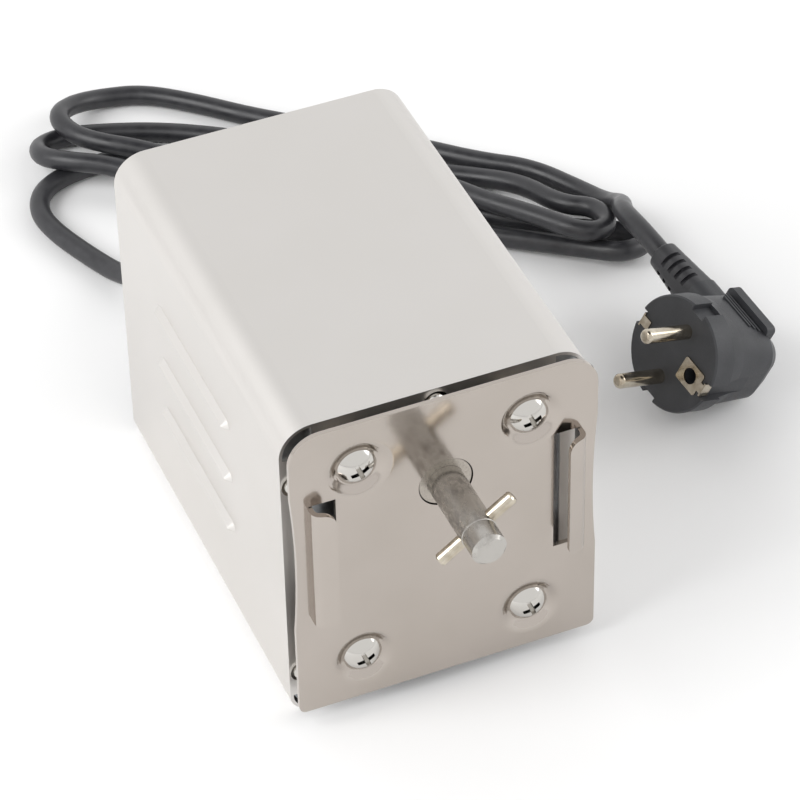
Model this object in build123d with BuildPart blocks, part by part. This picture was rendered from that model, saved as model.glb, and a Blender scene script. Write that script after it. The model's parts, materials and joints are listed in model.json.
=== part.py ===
"""Motor unit of a rotisserie spit roaster, in millimetres.

A sheet-steel case holds a synchronous motor and a three-stage spur reduction. The output shaft
leaves the front through a sliding-in mounting plate and drives a spit by its cross pin. A mains
cord leaves the back, lies folded in a hank behind the case and ends in a two-pin earthed plug.

Frame: +X right, -Y the way the shaft points, +Z up. The origin is in the middle of the base.
"""
import math
import os

from build123d import *

os.makedirs("parts", exist_ok=True)

# ---- case
case_width = 94.0
case_height = 109.0
case_length = 135.0
cover_sheet = 1.0
wall_sheet = 1.2
top_corner_r = 10.0
bottom_corner_r = 6.0
end_flange = 8.5            # depth of the flanges turned in at both ends of the cover
flange_notch = 0.7          # how far a flange stops short of the bent corner
bottom_flange = 20.0        # width of each flange turned in under the base
slip = 0.3                  # gap round a wall that slips into the cover
base_flange = 12.0          # tongue at the foot of the end walls

# ---- louvres, three in each side
louvre_length = 60.0
louvre_front = 41.0         # from the front edge of the cover
louvre_heights = (37.0, 56.7, 77.0)
louvre_rise = 5.2
louvre_slope = 50.0
louvre_reach = 1.8
louvre_skin = 0.6

# ---- mounting plate and its lanced slide channels
plate_trim = 0.3            # how much narrower the plate is than the case
plate_height = 105.0
plate_base = 6.0
plate_sheet = 1.5
plate_gap = 5.7             # between the plate and the case
plate_top_r = 9.8
plate_bottom_r = 2.3
waist = 1.1
waist_height = 50.0
bush_window_gap = 0.35
dish_top_r = 9.4
dish_floor_r = 6.5
dish_depth = 2.0
dish_round = 4.0
screw_half_span = 26.2
screw_low = 21.0
screw_high = 94.1
tab_hinge = 42.0            # from the middle to the web of a channel
tab_free_edge = 35.6
tab_window_in = 33.4
tab_base = 42.5
tab_height = 43.0
tab_near = 4.2              # height of the lip over the plate at its web
tab_far = 6.5               # and at its free edge
tab_corner_r = 3.0
tab_bend_r = 3.2

# ---- output shaft
shaft_d = 10.9
shaft_reach = 31.2          # in front of the mounting plate
shaft_height = 80.0
shaft_chamfer = 1.0
rear_journal_d = 8.0
nose_trim = 0.2             # the spit's seat in front of the cross pin, a little slimmer
cross_pin_d = 4.0
cross_pin_length = 27.7
cross_pin_from_end = 10.2
cross_pin_angle = 36.0
bush_wall = 2.55
bush_recess = 0.4
running = 0.05              # radial clearance of a shaft in its bore
key_side = 3.0

# ---- fasteners
m5_r = 2.5
m5_head_d = 11.8
m5_head = 3.6
head_rim = 0.7              # straight edge under a domed head
m3_r = 1.5
m3_hole = 0.1               # radial clearance of a through hole
m3_head_d = 5.6
m3_head = 2.0
m3_length = 6.0
motor_screw_length = 4.8
washer_d = 7.6
washer_sheet = 0.6
low_head_d = 6.0
low_head = 0.8
side_screw_inset = 4.0
side_screw_heights = (16.2, 88.8)
top_screw_drop = 4.5

# ---- gear train: three stages, each a small pinion driving a large wheel
pinion_teeth = 12
wheel_teeth = 60
modules = (0.5, 0.6, 0.8)   # motor stage, middle stage, output stage
pressure_angle = 25.0
addendum = 0.8              # in modules
dedendum = 1.1
backlash = 0.16             # in modules, taken from each tooth
output_to_second = -90.0    # direction from one axle to the next, seen from the front
second_to_first = -36.0
first_to_motor = 200.0
gear_face = (2.4, 3.0, 6.0)
layer_gap = 0.8
second_axle_d = 4.0
first_axle_d = 3.0

# ---- gearbox
box_width = 72.0
box_base = 16.4
box_top_gap = 0.6           # under the top of the cover
box_wall = 2.0
box_front = 7.0
box_cover = 2.0
box_corner_r = 8.0
box_screw_inset = 5.0

# ---- motor
motor_d = 54.0
motor_plate = 1.6
motor_length = 32.0
can_sheet = 1.0
rotor_d = 23.2
rotor_length = 22.0
rotor_shaft_d = 3.0
pole_gap = 0.6
claw = 1.2
claws = 6
claw_gap = 0.4             # between the claws and the bobbin
bobbin_wall = 1.0
motor_ear_span = 62.0
motor_ear_r = 4.0

# ---- cord, its entry and its plug
cord_d = 6.8
gland_x = -18.0
gland_z = 22.0
gland_flange_d = 18.0
gland_flange = 3.0
gland_neck_d = 12.0
relief_length = 23.0
relief_d = 12.0
relief_tip_d = 8.6
core_d = 2.2
pin_span = 19.0
pin_d = 4.8
pin_length = 19.0
plug_face_r = 18.7
plug_rim = 8.0
plug_depth = 33
plug_relief_depth = 31.0
plug_relief_start = 24.0
plug_relief_length = 20.0
plug_centre = (111.4, 24.0, 25.6)
plug_faces = (-0.893, -0.235, 0.384)
plug_pins_along = (0.418, -0.113, 0.902)

# ---- places along Y, worked out from the sizes above
plate_front = -(shaft_reach + plate_sheet + plate_gap + case_length + m3_head) / 2 + shaft_reach
case_front = plate_front + plate_sheet + plate_gap
case_back = case_front + case_length
shaft_end = plate_front - shaft_reach
wall_front = case_front + cover_sheet
box_y = wall_front + wall_sheet
cavity_y = box_y + box_front
output_y = cavity_y + layer_gap
second_y = output_y + gear_face[2] + layer_gap
first_y = second_y + gear_face[1] + layer_gap
box_rim_y = first_y + gear_face[0] + 2 * layer_gap
motor_y = box_rim_y + box_cover
base_top = cover_sheet + wall_sheet
half_width = case_width / 2
plate_width = case_width - plate_trim
bush_d = shaft_d + 2 * bush_wall
bush_window_r = bush_d / 2 + bush_window_gap
box_height = case_height - cover_sheet - box_top_gap - box_base


def facing(y):
    """Plane across the object at y, seen from the front: its x is X, its y is Z."""
    return Plane(origin=(0, y, 0), x_dir=(1, 0, 0), z_dir=(0, -1, 0))


def axle_from(place, module, direction):
    """Centre of the next axle, one centre distance away in a direction in degrees."""
    distance = module * (pinion_teeth + wheel_teeth) / 2
    angle = math.radians(direction)
    return (place[0] + distance * math.cos(angle), place[1] + distance * math.sin(angle))


output_axis = (0.0, shaft_height)
second_axis = axle_from(output_axis, modules[2], output_to_second)
first_axis = axle_from(second_axis, modules[1], second_to_first)
motor_axis = axle_from(first_axis, modules[0], first_to_motor)


def write(piece, name):
    """Label a finished piece and write its STEP file."""
    piece.part.label = name
    export_step(piece.part, f"parts/{name}.step")


def tooth_points(module, teeth, turn):
    """Corners of a spur gear with involute flanks, each of three straight steps."""
    pitch_r = module * teeth / 2
    base_r = pitch_r * math.cos(math.radians(pressure_angle))
    tip_r = pitch_r + addendum * module
    root_r = pitch_r - dedendum * module

    def involute(radius):
        roll = math.acos(min(1.0, base_r / radius))
        return math.tan(roll) - roll

    half = (math.pi * module / 2 - backlash * module) / (2 * pitch_r)
    flank = []
    for radius in (root_r, max(base_r, root_r + 0.2 * module), pitch_r, tip_r):
        flank.append((radius, half + involute(pitch_r) - involute(radius)))
    points = []
    for tooth in range(teeth):
        middle = turn + 2 * math.pi * tooth / teeth
        side = [(radius, middle - angle) for radius, angle in flank]
        side += [(radius, middle + angle) for radius, angle in reversed(flank)]
        points += [(radius * math.cos(angle), radius * math.sin(angle)) for radius, angle in side]
    return points


def mesh_turns(direction):
    """Turns of the followed wheel and its pinion that put a tooth in a gap."""
    angle = math.radians(direction)
    return angle + math.pi / wheel_teeth, angle + math.pi


def louvre_hood(side, height, skin):
    """Upper half of a raised slot on the case's side. With a skin it is the hollow inside."""
    wall = Plane(origin=(side * half_width, case_front + louvre_front + louvre_length / 2, height),
                 x_dir=(0, 1, 0), z_dir=(side, 0, 0))
    with BuildPart() as hood:
        with BuildSketch(wall):
            SlotOverall(louvre_length - 2 * skin, louvre_rise - 2 * skin)
        extrude(amount=louvre_reach - skin, taper=louvre_slope)
        with BuildSketch(wall):
            SlotOverall(louvre_length - 2 * skin, louvre_rise - 2 * skin)
        extrude(amount=-(cover_sheet + skin) / 2 - skin)
        with BuildSketch(wall.offset(-2 * cover_sheet)):
            with Locations((0, -side * louvre_rise / 2)):
                Rectangle(2 * louvre_length, louvre_rise)
        extrude(amount=2 * cover_sheet + 2 * louvre_reach, mode=Mode.SUBTRACT)
    return hood


# ================================================================ cover
with BuildPart() as case_cover:
    with BuildSketch(facing(case_front)) as wrap:
        with Locations((0, case_height / 2)):
            Rectangle(case_width, case_height)
        fillet(wrap.vertices().group_by(Axis.Y)[-1], top_corner_r)
        fillet(wrap.vertices().group_by(Axis.Y)[0], bottom_corner_r)
        offset(amount=-cover_sheet, mode=Mode.SUBTRACT)
        with Locations((0, cover_sheet / 2)):
            Rectangle(case_width - 2 * bottom_flange, 3 * cover_sheet, mode=Mode.SUBTRACT)
    extrude(amount=-case_length)
    for y in (case_front, case_back - cover_sheet):
        with BuildSketch(facing(y)):
            side_top = case_height - top_corner_r - flange_notch
            side_base = bottom_corner_r + flange_notch
            for side in (-1, 1):
                with Locations((side * (half_width - end_flange / 2 - cover_sheet / 4),
                                (side_top + side_base) / 2)):
                    Rectangle(end_flange - cover_sheet / 2, side_top - side_base)
            with Locations((0, case_height - end_flange / 2 - cover_sheet / 4)):
                Rectangle(case_width - 2 * top_corner_r, end_flange - cover_sheet / 2)
        extrude(amount=-cover_sheet)
        with Locations(facing(y)):
            with Locations([(side * (half_width - side_screw_inset), z)
                            for side in (-1, 1) for z in side_screw_heights]):
                Cylinder(m3_r + m3_hole, 4 * cover_sheet, mode=Mode.SUBTRACT)
            with Locations((0, case_height - top_screw_drop)):
                Cylinder(m3_r + m3_hole, 4 * cover_sheet, mode=Mode.SUBTRACT)
    for side in (-1, 1):
        for height in louvre_heights:
            add(louvre_hood(side, height, 0).part)
            add(louvre_hood(side, height, louvre_skin).part, mode=Mode.SUBTRACT)
write(case_cover, "case_cover")

# ================================================================ base and end walls
base_screw_x = case_width / 2 - bottom_flange - 9
base_screw_y = (box_y + base_flange / 2, case_back - cover_sheet - wall_sheet - base_flange / 2)
with BuildPart() as base_plate:
    with BuildSketch(Plane.XY.offset(cover_sheet)):
        with Locations((0, (case_front + case_back) / 2)):
            Rectangle(case_width - 2 * bottom_corner_r - 2 * slip, case_length - 2 * cover_sheet)
            with GridLocations(14, 60, 3, 1):
                SlotOverall(44, 4, rotation=90, mode=Mode.SUBTRACT)
        with Locations([(side * base_screw_x, y) for side in (-1, 1) for y in base_screw_y]):
            Circle(m3_r + m3_hole, mode=Mode.SUBTRACT)
    extrude(amount=wall_sheet)
write(base_plate, "base_plate")


def end_wall(y, tongue):
    """Sheet wall that slips into the cover at y, with a tongue on the base plate."""
    with BuildPart() as wall:
        with BuildSketch(facing(y)) as panel:
            with Locations((0, (base_top + case_height - cover_sheet - slip) / 2)):
                Rectangle(case_width - 2 * cover_sheet - 2 * slip,
                          case_height - cover_sheet - slip - base_top)
            fillet(panel.vertices().group_by(Axis.Y)[-1], top_corner_r - cover_sheet)
            fillet(panel.vertices().group_by(Axis.Y)[0], bottom_corner_r - cover_sheet)
            with Locations([(side * (half_width - side_screw_inset), z)
                            for side in (-1, 1) for z in side_screw_heights]):
                Circle(m3_r, mode=Mode.SUBTRACT)
            with Locations((0, case_height - top_screw_drop)):
                Circle(m3_r, mode=Mode.SUBTRACT)
        extrude(amount=-wall_sheet)
        with BuildSketch(Plane.XY.offset(base_top)):
            with Locations((0, tongue)):
                Rectangle(2 * base_screw_x + 14, base_flange)
            with Locations([(side * base_screw_x, tongue) for side in (-1, 1)]):
                Circle(m3_r, mode=Mode.SUBTRACT)
        extrude(amount=wall_sheet)
    return wall


with BuildPart() as front_wall:
    add(end_wall(wall_front, base_screw_y[0]).part)
    with BuildSketch(facing(wall_front)):
        with Locations(output_axis):
            Circle(bush_d / 2 + slip)
        with Locations([(side * screw_half_span, z)
                        for side in (-1, 1) for z in (screw_low, screw_high)]):
            Circle(m5_r + m3_hole)
    extrude(amount=-wall_sheet, mode=Mode.SUBTRACT)
write(front_wall, "front_wall")

rear_wall_y = case_back - cover_sheet - wall_sheet
with BuildPart() as rear_wall:
    add(end_wall(rear_wall_y, base_screw_y[1]).part)
    with BuildSketch(facing(rear_wall_y)):
        with Locations((gland_x, gland_z)):
            Circle(gland_neck_d / 2 + m3_hole)
        with Locations((0, 66)):
            with GridLocations(8, 0, 7, 1):
                SlotOverall(30, 3, rotation=90)
    extrude(amount=-wall_sheet, mode=Mode.SUBTRACT)
write(rear_wall, "rear_wall")

# ================================================================ screws of the case
side_screws = [(side * (half_width - side_screw_inset), z)
               for side in (-1, 1) for z in side_screw_heights]
side_screws.append((0, case_height - top_screw_drop))


def domed_screw(place, seat, outward, head_d, head, shank_r, length):
    """Pan-head screw on the plane y = seat, its domed head pointing outward (-1 or 1)."""
    section = Plane(origin=(place[0], seat, place[1]), x_dir=(1, 0, 0), z_dir=(0, 0, outward))
    rim = head_rim * head_d / m5_head_d
    dome = head - rim
    dome_r = (head_d ** 2 / 4 + dome ** 2) / (2 * dome)
    with BuildPart() as screw:
        with BuildSketch(section):
            with BuildLine():
                Polyline((0, head), (0, -length), (shank_r, -length), (shank_r, 0),
                         (head_d / 2, 0), (head_d / 2, rim))
                RadiusArc((head_d / 2, rim), (0, head), -dome_r)
            make_face()
        revolve(axis=Axis((place[0], seat, place[1]), (0, 1, 0)))
        with BuildSketch(Plane(origin=(place[0], seat + outward * head, place[1]),
                               x_dir=(1, 0, 0), z_dir=(0, outward, 0))):
            for turn in (20, 110):
                Rectangle(0.48 * head_d, 0.12 * head_d, rotation=turn)
        extrude(amount=-0.75 * head, taper=5, mode=Mode.SUBTRACT)
    return screw


def small_screws(places, seat, outward, length=m3_length):
    """Group of small pan-head screws."""
    with BuildPart() as screws:
        for place in places:
            add(domed_screw(place, seat, outward, m3_head_d, m3_head, m3_r, length).part)
    return screws


with BuildPart() as front_wall_screws:
    add(small_screws(side_screws, case_front - washer_sheet, -1).part)
write(front_wall_screws, "front_wall_screws")

with BuildPart() as front_wall_washers:
    with BuildSketch(facing(case_front)):
        with Locations(side_screws):
            Circle(washer_d / 2)
            Circle(m3_r + m3_hole, mode=Mode.SUBTRACT)
    extrude(amount=washer_sheet)
write(front_wall_washers, "front_wall_washers")

with BuildPart() as rear_wall_screws:
    add(small_screws(side_screws, case_back, 1).part)
write(rear_wall_screws, "rear_wall_screws")

with BuildPart() as base_screws:
    with BuildSketch(Plane.XY.offset(cover_sheet)):
        with Locations([(side * base_screw_x, y) for side in (-1, 1) for y in base_screw_y]):
            Circle(low_head_d / 2)
    extrude(amount=-low_head)
    with BuildSketch(Plane.XY.offset(cover_sheet)):
        with Locations([(side * base_screw_x, y) for side in (-1, 1) for y in base_screw_y]):
            Circle(m3_r)
    extrude(amount=m3_length)
write(base_screws, "base_screws")

# ================================================================ mounting plate
plate_top = plate_base + plate_height
plate_screws = [(side * screw_half_span, z) for side in (-1, 1) for z in (screw_low, screw_high)]
tab_middle = tab_base + tab_height / 2
tab_window_out = tab_hinge - plate_sheet / 3


def lip_outline(side):
    """Corners of a channel's section seen from above: web, bend and lip."""
    web = side * tab_hinge
    back = plate_front + plate_sheet
    near = plate_front - tab_near
    far = plate_front - tab_far
    edge = side * tab_free_edge
    inner = web - side * plate_sheet
    return [(web, back), (web, near), (edge, far), (edge, far + plate_sheet),
            (inner, near + plate_sheet), (inner, back)]


with BuildPart() as mounting_plate:
    with BuildSketch(facing(plate_front)) as blank:
        with Locations((0, plate_base + plate_height / 2)):
            Rectangle(plate_width, plate_height)
        fillet(blank.vertices().group_by(Axis.Y)[-1], plate_top_r)
        fillet(blank.vertices().group_by(Axis.Y)[0], plate_bottom_r)
        arc_r = (waist_height ** 2 / 4 + waist ** 2) / (2 * waist)
        for side in (-1, 1):
            with Locations((side * (plate_width / 2 - waist + arc_r), tab_middle)):
                Circle(arc_r, mode=Mode.SUBTRACT)
        with Locations(output_axis):
            Circle(bush_window_r, mode=Mode.SUBTRACT)
        with Locations([(side * (tab_window_in + tab_window_out) / 2, tab_middle)
                        for side in (-1, 1)]):
            Rectangle(tab_window_out - tab_window_in, tab_height + 0.5, mode=Mode.SUBTRACT)
    extrude(amount=-plate_sheet)
    for side in (-1, 1):
        with BuildSketch(Plane.XY.offset(tab_base)):
            Polygon(*lip_outline(side), align=None)
        extrude(amount=tab_height)
    bends = mounting_plate.edges().filter_by(Axis.Z)
    outer_bends = bends.filter_by(lambda edge: abs(abs(edge.center().X) - tab_hinge) < 0.01
                                  and abs(edge.center().Y - plate_front + tab_near) < 0.01)
    inner_bends = bends.filter_by(
        lambda edge: abs(abs(edge.center().X) - tab_hinge + plate_sheet) < 0.01
        and abs(edge.center().Y - plate_front + tab_near - plate_sheet) < 0.01)
    fillet(outer_bends, tab_bend_r)
    fillet(inner_bends, tab_bend_r - plate_sheet)
    lips = mounting_plate.edges().filter_by(Axis.Y, tolerance=30)
    free_corners = (lips.filter_by(lambda edge: abs(abs(edge.center().X) - tab_free_edge) < 0.1)
                    .filter_by(lambda edge: edge.center().Y < plate_front - 2))
    fillet(free_corners, tab_corner_r)
    for place in plate_screws:
        with BuildSketch(facing(plate_front + dish_depth)):
            with Locations(place):
                Circle(dish_floor_r + plate_sheet)
        with BuildSketch(facing(plate_front + plate_sheet)):
            with Locations(place):
                Circle(dish_top_r + plate_sheet / 2)
        loft()
        with BuildSketch(facing(plate_front + dish_depth)):
            with Locations(place):
                Circle(dish_floor_r + plate_sheet / 2)
        extrude(amount=-plate_sheet)
        with BuildSketch(facing(plate_front)):
            with Locations(place):
                Circle(dish_top_r)
        with BuildSketch(facing(plate_front + dish_depth)):
            with Locations(place):
                Circle(dish_floor_r)
        loft(mode=Mode.SUBTRACT)
    dish_rims = (mounting_plate.edges().filter_by(GeomType.CIRCLE)
                 .filter_by(lambda edge: abs(edge.radius - dish_top_r) < 0.01
                            and abs(edge.center().Y - plate_front) < 0.01))
    fillet(dish_rims, dish_round)
    dish_floors = (mounting_plate.edges().filter_by(GeomType.CIRCLE)
                   .filter_by(lambda edge: abs(edge.radius - dish_floor_r) < 0.01
                              and abs(edge.center().Y - plate_front - dish_depth) < 0.01))
    fillet(dish_floors, dish_round / 2)
    with BuildSketch(facing(plate_front)):
        with Locations(plate_screws):
            Circle(m5_r + m3_hole)
    extrude(amount=-2 * dish_depth - plate_sheet, mode=Mode.SUBTRACT)
write(mounting_plate, "mounting_plate")

spacer_length = wall_front - (plate_front + dish_depth + plate_sheet)
with BuildPart() as plate_spacers:
    with BuildSketch(facing(wall_front)):
        with Locations(plate_screws):
            Circle(dish_floor_r - 1.2)
            Circle(m5_r + m3_hole, mode=Mode.SUBTRACT)
    extrude(amount=spacer_length)
write(plate_spacers, "plate_spacers")

m5_seat = plate_front + dish_depth
m5_depth = box_front - 1
with BuildPart() as mounting_plate_screws:
    for place in plate_screws:
        add(domed_screw(place, m5_seat, -1, m5_head_d, m5_head, m5_r,
                        box_y + m5_depth - m5_seat).part)
write(mounting_plate_screws, "mounting_plate_screws")

# ================================================================ gearbox
box_middle = (0, box_base + box_height / 2)
box_screw_places = [(x, box_middle[1] + z)
                    for x in (box_screw_inset - box_width / 2, box_width / 2 - box_screw_inset)
                    for z in (box_screw_inset - box_height / 2, box_height / 2 - box_screw_inset)]
motor_ears = [(motor_axis[0] + side * motor_ear_span / 2, motor_axis[1]) for side in (-1, 1)]
axle_seat = box_y + box_front - 3

with BuildPart() as gearbox_housing:
    with BuildSketch(facing(box_y)):
        with Locations(box_middle):
            RectangleRounded(box_width, box_height, box_corner_r)
    extrude(amount=-(box_rim_y - box_y))
    with BuildSketch(facing(box_y)):
        with Locations((0, case_height - top_screw_drop + 4)):
            Rectangle(4 * m3_r, 8 + 4 * m3_r)
    extrude(amount=-(m3_length - washer_sheet - cover_sheet), mode=Mode.SUBTRACT)
    with BuildSketch(facing(cavity_y)):
        with Locations(box_middle):
            RectangleRounded(box_width - 2 * box_wall, box_height - 2 * box_wall,
                             box_corner_r - box_wall)
        with Locations(box_screw_places):
            Circle(4, mode=Mode.SUBTRACT)
    extrude(amount=-(box_rim_y - cavity_y), mode=Mode.SUBTRACT)
    with BuildSketch(facing(box_y)):
        with Locations(output_axis):
            Circle(bush_d / 2)
    extrude(amount=-box_front, mode=Mode.SUBTRACT)
    with BuildSketch(facing(box_y)):
        with Locations(plate_screws):
            Circle(m5_r)
    extrude(amount=-m5_depth, mode=Mode.SUBTRACT)
    with BuildSketch(facing(cavity_y)):
        with Locations(second_axis):
            Circle(second_axle_d / 2)
        with Locations(first_axis):
            Circle(first_axle_d / 2)
    extrude(amount=cavity_y - axle_seat, mode=Mode.SUBTRACT)
    with BuildSketch(facing(box_rim_y)):
        with Locations(box_screw_places):
            Circle(m3_r)
    extrude(amount=8, mode=Mode.SUBTRACT)
write(gearbox_housing, "gearbox_housing")

rear_bush_d = rear_journal_d + 4
motor_boss_r = 5.0
with BuildPart() as gearbox_cover:
    with BuildSketch(facing(box_rim_y)):
        with Locations(box_middle):
            RectangleRounded(box_width, box_height, box_corner_r)
        with Locations(output_axis):
            Circle(rear_bush_d / 2, mode=Mode.SUBTRACT)
        with Locations(second_axis):
            Circle(second_axle_d / 2, mode=Mode.SUBTRACT)
        with Locations(first_axis):
            Circle(first_axle_d / 2, mode=Mode.SUBTRACT)
        with Locations(motor_axis):
            Circle(motor_boss_r, mode=Mode.SUBTRACT)
        with Locations(box_screw_places):
            Circle(m3_r + m3_hole, mode=Mode.SUBTRACT)
        with Locations(motor_ears):
            Circle(m3_r, mode=Mode.SUBTRACT)
    extrude(amount=-box_cover)
write(gearbox_cover, "gearbox_cover")

with BuildPart() as gearbox_screws:
    add(small_screws(box_screw_places, motor_y, 1).part)
write(gearbox_screws, "gearbox_screws")

with BuildPart() as second_axle:
    with BuildSketch(facing(axle_seat)):
        with Locations(second_axis):
            Circle(second_axle_d / 2)
    extrude(amount=-(motor_y - 0.4 - axle_seat))
write(second_axle, "second_axle")

with BuildPart() as first_axle:
    with BuildSketch(facing(axle_seat)):
        with Locations(first_axis):
            Circle(first_axle_d / 2)
    extrude(amount=-(motor_y - 0.4 - axle_seat))
write(first_axle, "first_axle")

# ================================================================ gears
wheel_turn, pinion_turn = mesh_turns(output_to_second)
hub_r = 9.0
with BuildPart() as output_gear:
    with BuildSketch(facing(output_y)):
        with Locations(output_axis):
            Polygon(*tooth_points(modules[2], wheel_teeth, wheel_turn), align=None)
    extrude(amount=-gear_face[2])
    with BuildSketch(facing(output_y)):
        with Locations(output_axis):
            Circle(shaft_d / 2)
            with Locations((0, shaft_d / 2)):
                Rectangle(key_side, key_side)
            with PolarLocations(16, 6):
                Circle(3.4)
    extrude(amount=-gear_face[2], mode=Mode.SUBTRACT)
write(output_gear, "output_gear")


def compound_gear(place, layers):
    """Wheel and pinion in one piece on an axle. Each layer is y, width, module, teeth, turn."""
    with BuildPart() as gear:
        for y, width, module, teeth, turn in layers:
            with BuildSketch(facing(y)):
                with Locations(place):
                    Polygon(*tooth_points(module, teeth, turn), align=None)
            extrude(amount=-width)
    return gear


second_wheel_turn, first_pinion_turn = mesh_turns(second_to_first)
with BuildPart() as second_gear:
    add(compound_gear(second_axis, (
        (output_y, gear_face[2] + layer_gap, modules[2], pinion_teeth, pinion_turn),
        (second_y, gear_face[1], modules[1], wheel_teeth, second_wheel_turn))).part)
    with Locations(facing(output_y)):
        with Locations(second_axis):
            Cylinder(second_axle_d / 2 + running, 60, mode=Mode.SUBTRACT)
write(second_gear, "second_gear")

first_wheel_turn, motor_pinion_turn = mesh_turns(first_to_motor)
with BuildPart() as first_gear:
    add(compound_gear(first_axis, (
        (second_y, gear_face[1] + layer_gap, modules[1], pinion_teeth, first_pinion_turn),
        (first_y, gear_face[0], modules[0], wheel_teeth, first_wheel_turn))).part)
    with Locations(facing(output_y)):
        with Locations(first_axis):
            Cylinder(first_axle_d / 2 + running, 60, mode=Mode.SUBTRACT)
write(first_gear, "first_gear")

# ================================================================ output shaft
journal_y = output_y + gear_face[2]
shaft_tail = motor_y + 2.2
pin_y = shaft_end + cross_pin_from_end
nose_length = cross_pin_from_end - cross_pin_d / 2 - 3 * nose_trim
bar_start = shaft_end + nose_length + nose_trim
with BuildPart() as output_shaft:
    with BuildSketch(facing(shaft_end)):
        with Locations(output_axis):
            Circle(shaft_d / 2 - nose_trim)
    extrude(amount=-nose_length)
    with BuildSketch(facing(shaft_end + nose_length)):
        with Locations(output_axis):
            Circle(shaft_d / 2 - nose_trim)
    with BuildSketch(facing(bar_start)):
        with Locations(output_axis):
            Circle(shaft_d / 2)
    loft()
    with BuildSketch(facing(bar_start)):
        with Locations(output_axis):
            Circle(shaft_d / 2)
    extrude(amount=-(journal_y - bar_start))
    chamfer(output_shaft.faces().sort_by(Axis.Y)[0].edges(), shaft_chamfer)
    with BuildSketch(facing(journal_y)):
        with Locations(output_axis):
            Circle(rear_journal_d / 2)
    extrude(amount=-(shaft_tail - journal_y))
    with Locations(Plane(origin=(0, pin_y, shaft_height), z_dir=(
            math.cos(math.radians(cross_pin_angle)), 0, math.sin(math.radians(cross_pin_angle))))):
        Cylinder(cross_pin_d / 2, 2 * shaft_d, mode=Mode.SUBTRACT)
    with BuildSketch(facing(output_y)):
        with Locations((0, shaft_height + shaft_d / 2)):
            Rectangle(key_side, key_side)
    extrude(amount=-gear_face[2], mode=Mode.SUBTRACT)
    with BuildSketch(facing(motor_y + 0.7)):
        with Locations(output_axis):
            Circle(rear_journal_d)
            Circle(rear_journal_d / 2 - 0.5, mode=Mode.SUBTRACT)
    extrude(amount=-0.8, mode=Mode.SUBTRACT)
write(output_shaft, "output_shaft")

with BuildPart() as output_key:
    with BuildSketch(facing(output_y)):
        with Locations((0, shaft_height + shaft_d / 2)):
            Rectangle(key_side, key_side)
    extrude(amount=-gear_face[2])
write(output_key, "output_key")

with BuildPart() as cross_pin:
    with Locations(Plane(origin=(0, pin_y, shaft_height), z_dir=(
            math.cos(math.radians(cross_pin_angle)), 0, math.sin(math.radians(cross_pin_angle))))):
        Cylinder(cross_pin_d / 2, cross_pin_length)
    chamfer(cross_pin.edges().filter_by(GeomType.CIRCLE), 0.5)
write(cross_pin, "cross_pin")

with BuildPart() as front_bush:
    with BuildSketch(facing(plate_front + bush_recess)):
        with Locations(output_axis):
            Circle(bush_d / 2)
            Circle(shaft_d / 2 + running, mode=Mode.SUBTRACT)
    extrude(amount=-(cavity_y - plate_front - bush_recess))
write(front_bush, "front_bush")

with BuildPart() as rear_bush:
    with BuildSketch(facing(journal_y + 0.5)):
        with Locations(output_axis):
            Circle(rear_bush_d / 2)
            Circle(rear_journal_d / 2 + running, mode=Mode.SUBTRACT)
    extrude(amount=-(motor_y - journal_y - 0.5))
write(rear_bush, "rear_bush")

with BuildPart() as shaft_circlip:
    with BuildSketch(facing(motor_y + 0.7)):
        with Locations(output_axis):
            Circle(rear_journal_d / 2 + 1.4)
            Circle(rear_journal_d / 2 - 0.5, mode=Mode.SUBTRACT)
            with Locations((0, -rear_journal_d / 2)):
                Rectangle(3, 5, mode=Mode.SUBTRACT)
    extrude(amount=-0.8)
write(shaft_circlip, "shaft_circlip")

# ================================================================ motor
can_y = motor_y + motor_plate
can_back = can_y + motor_length
pole_r = rotor_d / 2 + pole_gap
bobbin_r = motor_d / 2 - can_sheet - 0.6
bobbin_bore = rotor_d + 2 * (pole_gap + claw + claw_gap)
bearing_r = 4.0

with BuildPart() as motor_plate_front:
    with BuildSketch(facing(motor_y)):
        with Locations(motor_axis):
            Circle(motor_d / 2)
        with Locations(motor_axis):
            SlotCenterToCenter(motor_ear_span, 2 * motor_ear_r)
        with Locations(motor_ears):
            Circle(m3_r + m3_hole, mode=Mode.SUBTRACT)
        with Locations(motor_axis):
            Circle(bearing_r, mode=Mode.SUBTRACT)
    extrude(amount=-motor_plate)
write(motor_plate_front, "motor_plate")

with BuildPart() as motor_can:
    with BuildSketch(facing(can_y)):
        with Locations(motor_axis):
            Circle(motor_d / 2)
            Circle(bearing_r, mode=Mode.SUBTRACT)
    extrude(amount=-motor_length)
    with BuildSketch(facing(can_y)):
        with Locations(motor_axis):
            Circle(motor_d / 2 - can_sheet)
    extrude(amount=-(motor_length - can_sheet), mode=Mode.SUBTRACT)
    fillet(motor_can.faces().sort_by(Axis.Y)[-1].outer_wire().edges(), 0.8)
write(motor_can, "motor_can")

with BuildPart() as motor_screws:
    add(small_screws(motor_ears, can_y, 1, motor_screw_length).part)
write(motor_screws, "motor_screws")


def pole_plate(y, inward, first_claw):
    """Disc with bent claws that reach past the rotor, inward being 1 (back) or -1 (front)."""
    with BuildPart() as poles:
        with BuildSketch(facing(y)):
            with Locations(motor_axis):
                Circle(bobbin_r)
                Circle(pole_r + 0.01, mode=Mode.SUBTRACT)
        extrude(amount=-inward * claw)
        with BuildSketch(facing(y)):
            with Locations(motor_axis):
                with PolarLocations(pole_r + claw / 2, claws, start_angle=first_claw):
                    Rectangle(claw, 0.42 * pole_r)
        extrude(amount=-inward * (rotor_length - 1))
    return poles


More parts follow.
